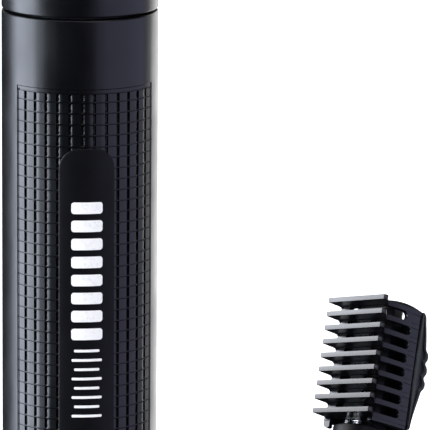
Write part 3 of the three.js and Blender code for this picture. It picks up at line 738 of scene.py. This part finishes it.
def head_form(inwards, low, high, edge=0.0):
    """The head from low to high, moved inwards, with its rims rounded by edge."""
    levels = 24
    turns = [math.pi / 2 * s / 4 for s in range(4)] if edge else []
    rim = [(edge * (1 - math.cos(t)), inwards + edge * (1 - math.sin(t))) for t in turns]
    run = high - low - 2 * edge
    rings = [head_ring(low + rise, inset_by) for rise, inset_by in rim]
    rings += [head_ring(low + edge + run * s / levels, inwards) for s in range(levels + 1)]
    rings += [head_ring(high - rise, inset_by) for rise, inset_by in rim[::-1]]
    return rings_to_solid(rings)


ON_BLADE = shift(0, BLADE_AT["y"], BLADE_AT["z"]) @ rotation(BLADE_AT["tilt"], "X")


def beard_head():
    """A hollow shell cut away for the blades, with two seats inside that their screws go into."""
    head = make("beard_head_shell", head_form(0, HEAD["low"], HEAD["high"], edge=0.6), satin_black)
    socket_r = SPIGOT_R + SOCKET_GAP
    socket = turned([(0, 128), (socket_r, 128), (socket_r, 133.8), (0, 133.8)], 96)
    hollow = head_form(HEAD["wall"], SPIGOT_TOP - 0.5, HEAD["high"] - 2.2)
    seat_front, seat_low = BLADE_SEAT["y"][0], BLADE_SEAT["z"][0]
    seat_cut = moved(box((-30, 30), (-20, seat_front), (seat_low, 30)), ON_BLADE)
    window = moved(box((-WINDOW_X, WINDOW_X), (0, 5.8), (-6, 30)), ON_BLADE)
    carve(head, "DIFFERENCE", socket, hollow, seat_cut, window)
    inner, outer = BLADE_SEAT["x"]
    seats = [box(x, BLADE_SEAT["y"], BLADE_SEAT["z"]) for x in ((-outer, -inner), (inner, outer))]
    seat_block = make("seat_block", moved(merge(*seats), ON_BLADE))
    carve(seat_block, "INTERSECT", head_form(0.4, HEAD["low"], HEAD["high"]))
    carve(head, "UNION", solid_of(seat_block))
    radius = BLADE_SCREW["r"]
    screw_hole = turned([(0, -2), (radius, -2), (radius, 5), (0, 5)], 24)
    holes = []
    for side in (-1, 1):
        on_screw = shift(side * BLADE_SCREW["x"], 0, BLADE_SCREW["z"]) @ rotation(-math.pi / 2, "X")
        holes.append(moved(screw_hole, ON_BLADE @ on_screw))
    carve(head, "DIFFERENCE", merge(*holes))
    return soften(head, 0.15, angle=38)


place(beard_head(), "beard_head", "satin_black", "head_housing")

# ---- detail head: skirt, housing, neck and support ----
ON_COMB = (
    shift(DETAIL_X, 0, BEND_Z)
    @ rotation(-LEAN_HEADING, "Z")
    @ rotation(-LEAN, "X")
    @ rotation(COMB_TWIST, "Z")
    @ shift(-NECK_IN_COMB[0], -NECK_IN_COMB[1], 0)
)
AT_DETAIL = shift(DETAIL_X, 0, 0)
AT_NECK = ON_COMB @ shift(NECK_IN_COMB[0], NECK_IN_COMB[1], 0)


def detail_skirt():
    """The coupling ring that the detail head stands on, with a fine groove round it."""
    inner = SPIGOT_R + SOCKET_GAP
    profile = [(inner, 0.4), (inner + 0.4, 0), *arc((BODY_R - EDGE_R, EDGE_R), EDGE_R, -90, 0)]
    profile += [(BODY_R, 2.2), (BODY_R - 0.2, 2.3), (BODY_R - 0.2, 2.6), (BODY_R, 2.7)]
    profile += [*arc((BODY_R - 0.3, SKIRT_TOP - 0.3), 0.3, 0, 90, 4), (inner, SKIRT_TOP)]
    return moved(turned(profile, closed=True), AT_DETAIL)


skirt = shade(make("detail_ring", detail_skirt(), satin_black), sharp=40)
place(skirt, "detail_head", "satin_black", "detail_skirt")


def detail_body():
    """A dome over the skirt, the leaning neck and the bar inside the comb, in one hollow piece."""
    base, bar_low = SKIRT_TOP + 0.25, SUPPORT["low"]
    dome = [(0, base), *arc((BODY_R - 0.3, base + 0.3), 0.3, -90, 0, 4)]
    dome += [(15.85, 10.6), (15.4, 11.6), (14.6, 12.5), (13.4, 13.4), (12, 14.15), (10.4, 14.8)]
    dome += [(8.6, 15.4), (6.5, 15.9), (4, 16.2), (0, 16.4)]
    neck = [(0, -3), (9.4, -3), (9.4, 3.2), (8.6, 3.9), (7.6, 4.9), (6.7, 6.2), (6.05, 7.9), (5.72, 9.8)]
    neck += [(NECK_R, 11.8), (NECK_R, 16.6), *arc((NECK_R - 0.4, bar_low - 0.4), 0.4, 0, 90, 6)]
    neck.append((0, bar_low))
    bar = rounded(rectangle(*(SUPPORT[side] for side in ("left", "front", "right", "back"))), [1.8] * 4)
    under = [(0, base - 1), (13.7, base - 1), (13.4, 10.6), (11.4, 12.2), (8, 13.4), (0, 14)]
    bore = [(0, -6), (BORE_R, -6), (BORE_R, BORE_TOP), (0, BORE_TOP)]
    slot_x = CUTTER_X - CUTTER_SLOT["half"], CUTTER_X + CUTTER_SLOT["half"]
    slot_y = SUPPORT["front"] - 1, NECK_IN_COMB[1]
    body = make("detail_shell", moved(turned(dome), AT_DETAIL), neck_black)
    carve(
        body,
        "UNION",
        moved(turned(neck, 64), AT_NECK),
        moved(prism(bar, bar_low - 1.2, SUPPORT["high"], 0.5, 4), ON_COMB),
    )
    carve(
        body,
        "DIFFERENCE",
        moved(box((-40, 40), (-40, 40), (-10, base)), AT_DETAIL),
        moved(turned(under, 96), AT_DETAIL),
        moved(turned(bore, 32), AT_NECK),
        moved(box(slot_x, slot_y, (CUTTER_SLOT["low"], CUTTER_SLOT["high"])), ON_COMB),
    )
    return soften(body, 0.18, angle=38)


place(detail_body(), "detail_head", "satin_black", "detail_housing")


# ---- guide comb ----
def tooth_middle(i):
    """Height of a tooth plate's middle along the neck."""
    return TOOTH["first"] + i * TOOTH["pitch"]


COMB_LOW = tooth_middle(0) - 1.3
COMB_HIGH = tooth_middle(TOOTH["count"] - 1) + 0.5
HALF_TOOTH = TOOTH["thick"] / 2
CROWN = 0.055  # each contact edge rises this much to a ridge along its middle
REAR_BOW = 0.3  # the rear face bows out this much
GAP_INTO_WALL = 0.06  # the gaps are cut this far into the sleeve's front wall
SLOT_LIP = 0.04  # the slots are this much lower than the gaps, each side
SLOT_REACH = 6.75  # how far the slots run along the rear face to their round ends
TOP_SLOT_REACH = 5.4
# the spine's size at heights along the neck
SPINE = [(19.0, 1.0), (24.0, 2.0), (28.3, 3.55), (34.0, 3.65), (38.0, 3.1), (41.0, 2.6), (45.4, 1.35)]
SPINE_STEP = Vector((0.35, 0.65))  # how the spine stands out behind the heel, for each unit of size
SPINE_SIDE = [(0.2, 0.2), (0.46, 0.28), (0.58, -0.04), (0.7, 0.26)]  # (share of that, lift), with a dip
RIDGES = (29.5, 32.75, 35.9)  # heights of the three thumb ridges
FAN = 0.31  # the top tooth plate's tip is raised this much
# these turn an outline raised in w into one in u and w raised in v, and into one in v and w raised in u
FRONTAL = Matrix(((1, 0, 0, 0), (0, 0, 1, 0), (0, 1, 0, 0), (0, 0, 0, 1)))
SIDEWAYS = Matrix(((0, 0, 1, 0), (1, 0, 0, 0), (0, 1, 0, 0), (0, 0, 0, 1)))


def bow(t):
    """A shallow hump from 0 to 1, which is 1 high in the middle."""
    return 4 * t * (1 - t)


def rear_face(out=0.0, start=0.0, end=1.0, steps=8):
    """Points on the sleeve's shallow rear arc from its corner to its heel, moved outwards."""
    corner = Vector((SLEEVE["corner"], SLEEVE["front"]))
    run = Vector(HEEL) - corner
    normal = Vector((run.y, -run.x)).normalized()
    points = []
    for s in range(steps + 1):
        t = start + (end - start) * s / steps
        points.append(tuple(corner + run * t + normal * (REAR_BOW * bow(t) + out)))
    return points


def sleeve_outline(inwards):
    """The sleeve seen along the neck, moved inwards."""
    left, front = SLEEVE["left"] + inwards, SLEEVE["front"] + inwards
    corner, back = SLEEVE["corner"] - inwards * 0.7, SLEEVE["back"] - inwards
    rear = [p for p in rear_face(-inwards) if p[1] > front + 0.3]
    corners = [(left, front), (corner, front), *rear, (0.4 - inwards, back), (left, back)]
    radii = [0.9, 0.5, *([0] * len(rear)), 0.4, 0.9]
    return rounded(corners, radii, 5)


def tooth_block():
    """The block in front of the sleeve that the teeth are cut from."""
    front = SLEEVE["front"]
    outline = [(-TOOTH["length"], -CROWN), (0, -CROWN), (0.65, 0.73), (-1.9, front + 0.5)]
    outline.append((SLEEVE["left"] + 0.6, front + 0.5))
    return prism(outline, COMB_LOW + 0.1, tooth_middle(TOOTH["count"] - 1) + HALF_TOOTH)


def tooth_gaps():
    """Gaps with rounded roots; even and odd ones apart, because their flared mouths touch."""
    deep = SLEEVE["front"] + GAP_INTO_WALL
    root = 0.75
    gaps = []
    for i in range(TOOTH["count"] + 1):
        low = tooth_middle(i - 1) + HALF_TOOTH if i else COMB_LOW - 3
        high = tooth_middle(i) - HALF_TOOTH if i < TOOTH["count"] else COMB_HIGH + 3
        bar = [(-1, low - HALF_TOOTH), (-CROWN, low - HALF_TOOTH), (0, low), (deep, low)]
        bar += [(deep, high), (0, high), (-CROWN, high + HALF_TOOTH), (-1, high + HALF_TOOTH)]
        radii = [0, 0, 0, root if i else 0, root if i < TOOTH["count"] else 0, 0, 0, 0]
        gaps.append(moved(prism(rounded(bar, radii), -20, 3), SIDEWAYS))
    return merge(*gaps[::2]), merge(*gaps[1::2])


def slot_tools():
    """Openings between the teeth, through the front wall and round into the rear face."""
    front = SLEEVE["front"]
    corner = Vector((SLEEVE["corner"], front))
    along = (Vector(HEEL) - corner).normalized()
    across = Vector((along.y, -along.x))
    on_rear = Matrix(
        ((along.x, 0, across.x, corner.x), (along.y, 0, across.y, corner.y), (0, 1, 0, 0), (0, 0, 0, 1))
    )
    fronts, rears = [], []
    for i in range(1, TOOTH["count"]):
        low, high = tooth_middle(i - 1) + HALF_TOOTH + SLOT_LIP, tooth_middle(i) - HALF_TOOTH - SLOT_LIP
        middle, radius = (low + high) / 2, (high - low) / 2
        centre = (TOP_SLOT_REACH if i == TOOTH["count"] - 1 else SLOT_REACH) - radius
        turns = [math.pi * s / 12 for s in range(1, 12)]
        window = [(-0.9, low), (centre, low)]
        window += [(centre + radius * math.sin(t), middle - radius * math.cos(t)) for t in turns]
        window += [(centre, high), (-0.9, high)]
        rears.append(moved(prism(window, -2.6, 2.0), on_rear))
        opening = rounded(rectangle(-11.5, low, -1.2, high), [0.7, 0, 0, 0.7], 5)
        fronts.append(moved(prism(opening, front - 0.3, front + 1.7), FRONTAL))
    return merge(*fronts), merge(*rears)


def spine_bulge(w, low, high):
    """How far the spine stands out at a height: smoothed, with its ridges, and rounded at both ends."""
    end_round = 0.9
    near = [along_line(SPINE, w + step) for step in (-2.4, -1.2, 0, 1.2, 2.4)]
    ridges = 0.75 * sum(math.exp(-(((w - middle) / 1.1) ** 4)) for middle in RIDGES)
    near_end = min(1.0, max(0.0, end_round - min(w - low, high - w)) / end_round)
    return sum(near) / len(near) + ridges - 1.1 * end_round * (1 - math.sqrt(1 - near_end**2))


def spine():
    """A rounded strip behind the heel that bulges towards its middle, with a groove along it."""
    count = 110
    low, high = COMB_LOW + 0.1, COMB_HIGH - 0.02
    heel = Vector(HEEL)
    base = heel + Vector((0.0, -0.2))
    outward = Vector((SPINE_STEP.y, -SPINE_STEP.x)).normalized()
    inner = [(-2.6, SLEEVE["back"] - 0.3), (-2.6, SLEEVE["back"] - 0.9)]
    rings = []
    for s in range(count + 1):
        w = low + (high - low) * (1 - math.cos(math.pi * s / count)) / 2
        bulge = spine_bulge(w, low, high)
        span = SPINE_STEP * max(0.3, bulge)
        nose = base + span
        side = [base + span * share + outward * lift for share, lift in SPINE_SIDE]
        outer = [heel + Vector((-0.9, -0.9)), base, *side, nose, nose + Vector((-1.5, 0.25))]
        radii = [0, 0, 0, 0, 0, 0, 0.3 if bulge > 1.2 else 0.1, 0.2, 0, 0]
        rings.append([(x, y, w) for x, y in rounded([*outer, *inner], radii, 5)])
    return rings_to_solid(rings)


def crown_rib():
    """The sleeve's top edge over the rear face, which rises in a shallow arch."""
    steps, rise = 14, 0.6
    outer = rear_face(0.0, 0.0, 1.0, steps)
    inner = rear_face(-SLEEVE["wall"], 0.02, 0.98, steps)
    low = COMB_HIGH - 1.0
    rings = []
    for s, ((x0, y0), (x1, y1)) in enumerate(zip(outer, inner)):
        top = COMB_HIGH + 0.02 + rise * bow(s / steps)
        rings.append([(x1, y1, low), (x1, y1, top), (x0, y0, top - 0.05), (x0, y0, low)])
    return rings_to_solid(rings)


def rear_bands():
    """The tooth plates show on the rear face as bands that stand slightly proud."""
    outline = rear_face(0.1, 0.03, 0.93) + rear_face(-0.6, 0.03, 0.93)[::-1]
    middles = [tooth_middle(i) for i in range(TOOTH["count"])]
    return merge(*(prism(outline, w - HALF_TOOTH, w + HALF_TOOTH) for w in middles))


def rear_grooves():
    """Fine lines that carry the bands' edges on to a groove beside the heel."""
    half = 0.055
    beside_tooth = HALF_TOOTH + half - 0.03
    heel_line = rear_face(1.2, 0.95, 0.98, 1) + rear_face(-0.32, 0.95, 0.98, 1)[::-1]
    outline = rear_face(1.0, 0.715, 0.94) + rear_face(-0.15, 0.715, 0.94)[::-1]
    lines = [tooth_middle(i) + side * beside_tooth for i in range(TOOTH["count"]) for side in (-1, 1)]
    inside = [w for w in lines if COMB_LOW + 0.3 < w < COMB_HIGH - 0.3]
    heel_groove = prism(heel_line, COMB_LOW - 1, COMB_HIGH - 0.8)
    return heel_groove, merge(*(prism(outline, w - half, w + half) for w in inside))


def corner_post():
    """The sleeve's front left corner reaches below its lower rim and is rounded off."""
    left, front = SLEEVE["left"], SLEEVE["front"]
    post = rectangle(left, COMB_LOW - 1.35, left + 1.5, COMB_LOW + 1.0)
    return moved(prism(rounded(post, [0.85, 0.4, 0, 0], 5), front + 0.02, front + 1.3), FRONTAL)


def fanned(mesh):
    """Spreads the tooth plates slightly, most at the top corner of the contact edge."""
    span = TOOTH["pitch"] * (TOOTH["count"] - 1)
    for vertex in mesh.vertices:
        u, v, w = vertex.co / MM
        share = (w - TOOTH["first"]) / span
        along = (u + TOOTH["length"]) / TOOTH["length"]
        rearwards = max(0.0, v - SLEEVE["front"]) / (HEEL[1] - SLEEVE["front"])
        vertex.co.z += FAN * share * (along - 1.3 * rearwards) * MM


def guide_comb():
    """Built upright in the comb's own frame, spread, and carried to its place."""
    comb = make("comb_body", prism(sleeve_outline(0), COMB_LOW, COMB_HIGH, 0.2), comb_black)
    carve(comb, "UNION", tooth_block(), spine(), rear_bands(), crown_rib(), corner_post())
    carve(comb, "DIFFERENCE", *tooth_gaps())
    hollow = prism(sleeve_outline(SLEEVE["wall"]), COMB_LOW - 1, COMB_HIGH + 0.9)
    open_top = box((-20, -2), (SLEEVE["front"] + 1.6, 20), (COMB_HIGH - 2.2, COMB_HIGH + 1))
    arch = box((-12.5, -2.7), (3.0, 5.4), (COMB_LOW - 1, COMB_LOW + 0.74))
    carve(comb, "DIFFERENCE", hollow, open_top, arch, *slot_tools(), *rear_grooves())
    fanned(comb.data)
    comb.data.transform(Matrix.Scale(MM, 4) @ ON_COMB @ Matrix.Scale(1 / MM, 4))
    return soften(comb, 0.09, angle=35)


place(guide_comb(), "comb", "comb_black", "guide_comb")


# ---- clip below the detail cutter ----
def cutter_clip():
    """A bent spring clip that holds the detail cutter to the front of its support."""
    plate = rounded(rectangle(-9.9, 15.6, -6.1, 20.3), [1.0, 1.0, 0.3, 0.3], 5)
    body = moved(prism(plate, 5.95, 6.35, 0.1), FRONTAL)
    lugs = []
    for corners in ((-8.6, 17.2, -8.1, 19.5), (-7.0, 18.95, -5.4, 19.45), (-5.9, 17.6, -5.4, 19.2)):
        side = rounded(rectangle(*corners), [0.2] * 4, 3)
        lugs.append(moved(prism(side, 4.7, 6.2, 0.15), FRONTAL))
    return moved(merge(body, *lugs), ON_COMB)


place(shade(make("cutter_clip", cutter_clip(), blade_steel), sharp=40), "detail_head", "blade_steel")

# ---- CAD pieces that keep their shape: materials and soft edges ----
SCREW_KINDS = ("cap_screw", "motor_screw", "blade_screw")
SCREWS = [f"{kind}_{side}" for kind in SCREW_KINDS for side in ("left", "right")]
KEPT = [  # material, rounding of the edges, nodes
    (inner_plastic, 0.12, ["chassis", "motor_mount", "coupling_spigot", "drive_bracket", "drive_lever"]),
    (blade_steel, 0.06, ["fixed_blade", "moving_blade", "tension_spring", "detail_moving_blade"]),
    # the detail fixed blade gets the darkened steel, painted shade for the dark inside of the comb
    (painted_shade_steel, 0.06, ["detail_fixed_blade"]),
    (bright_steel, 0.08, ["charging_socket", "motor_can", "motor_shaft", "lever_pin", "detail_drive_rod"]),
    (screw_steel, 0.12, SCREWS),
    (nickel_strip, 0.05, ["battery_tab_lower", "battery_tab_upper"]),
    (magnet_grey, 0.1, ["collar_magnet"]),
    (cell_wrap, 0.3, ["battery_cell"]),
    (board_green, 0.06, ["circuit_board"]),
    (seal_rubber, 0, ["spigot_seal"]),
    (satin_black, 0.12, ["motor_end_bell", "collar_sensor", "eccentric_cam", "blade_carrier"]),
]
WELD = 0.002  # CAD points closer than this are joined


def dress(node, material, edge):
    """Gives a CAD piece its material, and joins its flat triangles so that only real edges soften."""
    node.data.materials.clear()
    node.data.materials.append(material)
    weld = node.modifiers.new("weld", "WELD")
    weld.merge_threshold = WELD * MM
    if edge:
        flat = node.modifiers.new("flat_faces", "DECIMATE")
        flat.decimate_type = "DISSOLVE"
        flat.angle_limit = math.radians(1)
        soften(node, edge, angle=25)
    else:
        shade(node)


for material, edge, names in KEPT:
    for name in names:
        dress(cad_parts[name], material, edge)

# ---- floor, light, camera ----
HEADING = math.radians(8.29)  # the camera looks this far from +Y towards +X
PITCH = math.radians(11.71)
ROLL = math.radians(0.45)
CAMERA_AT = Vector((-94.3, -840.4, 251.2))
LENS = 350.9
TARGET = Vector((25, 0, 80))  # the lights face this point
FLOOR_HALF = 12000
COMB_LIGHT = {"wide": 0.036, "tall": 0.046, "radiance": 7.8, "away": 27, "tint": (0.95, 0.96, 1.0)}
EDGE_MIRROR = Vector((-0.889, 0.054, 0.455))  # seen by the camera in the teeth's contact edges

toward = Vector((-math.sin(HEADING), -math.cos(HEADING), 0))
rightward = Vector((math.cos(HEADING), -math.sin(HEADING), 0))


def pale_floor():
    """Plain paper that glows a little, so that it stays pale round a black object."""
    finish = Finish("floor_paper", 0.9, specular=0.1)
    finish.colour(finish.noise(0.02), (0.80, 0.80, 0.80), (0.84, 0.84, 0.84))
    finish.shader.inputs["Emission Color"].default_value = (1, 1, 1, 1)
    finish.shader.inputs["Emission Strength"].default_value = 0.9
    corners = rectangle(-FLOOR_HALF, -FLOOR_HALF, FLOOR_HALF, FLOOR_HALF)
    floor = make("floor", ([(x, y, 0) for x, y in corners], [[0, 1, 2, 3]]), finish.material)
    floor.visible_glossy = False
    floor.visible_shadow = False
    floor.visible_diffuse = False


def area_light(name, where, aim, width, tall, radiance, tint):
    """A rectangular panel of even brightness that faces along aim and is hidden from the camera."""
    light = bpy.data.lights.new(name, "AREA")
    light.shape = "RECTANGLE"
    light.size, light.size_y = width, tall
    light.energy = radiance * math.pi * width * tall
    light.color = tint
    panel = bpy.data.objects.new(name, light)
    scene.collection.objects.link(panel)
    panel.location = where
    panel.rotation_euler = aim.to_track_quat("-Z", "Y").to_euler()
    panel.visible_camera = False
    return panel


def soft_light(name, azimuth, height, distance, width, tall, radiance, tint=(1, 1, 1)):
    """A panel in the studio; azimuth 0 is the camera's side and 90 its right. Lengths are in metres."""
    a = math.radians(azimuth)
    where = TARGET * MM + (toward * math.cos(a) + rightward * math.sin(a)) * distance
    where.z = height
    return area_light(name, where, TARGET * MM - where, width, tall, radiance, tint)


def comb_light():
    """A small panel between the handle and the comb that the tooth edges face."""
    middle = ON_COMB @ Vector((-7, 0, tooth_middle(TOOTH["count"] // 2)))
    where = (middle + EDGE_MIRROR * COMB_LIGHT["away"]) * MM
    looks = [COMB_LIGHT[key] for key in ("wide", "tall", "radiance", "tint")]
    area_light("comb_light", where, -EDGE_MIRROR, *looks)


pale_floor()
soft_light("key_left", -87, 0.12, 0.8, 0.66, 1.0, 8.6, (0.79, 0.86, 1.0))
soft_light("rim_right", 150, 0.05, 1.0, 0.7, 1.0, 2.8)
soft_light("fill_right", 70, 0.0, 1.0, 1.9, 1.0, 1.05, (0.68, 0.70, 1.0))
soft_light("overhead", 0, 1.3, 0.05, 1.2, 1.2, 1.2)
soft_light("front_high", 32, 0.8, 1.0, 0.7, 0.5, 2.2, (0.8, 0.85, 1.0))
soft_light("back", -160, 0.5, 1.4, 0.7, 0.8, 0.35)
soft_light("front_diffuse", -12, 0.35, 1.2, 1.0, 1.0, 4.2).visible_glossy = False
comb_light()

world = bpy.data.worlds.new("studio")
world.use_nodes = True
background = world.node_tree.nodes["Background"]
background.inputs["Color"].default_value = (0.9, 0.95, 1.0, 1)
background.inputs["Strength"].default_value = 0.02
scene.world = world
scene.view_settings.view_transform = "Standard"

camera_data = bpy.data.cameras.new("camera")
camera_data.sensor_width = 36
camera_data.lens = LENS
camera_data.clip_start, camera_data.clip_end = 0.01, 50
camera = bpy.data.objects.new("camera", camera_data)
scene.collection.objects.link(camera)
ahead = -toward * math.cos(PITCH) - Vector((0, 0, math.sin(PITCH)))
up = rightward.cross(ahead)
right_rolled = rightward * math.cos(ROLL) + up * math.sin(ROLL)
up_rolled = up * math.cos(ROLL) - rightward * math.sin(ROLL)
facing = Matrix((right_rolled, up_rolled, -ahead)).transposed()
camera.matrix_world = Matrix.Translation(CAMERA_AT * MM) @ facing.to_4x4()
scene.camera = camera
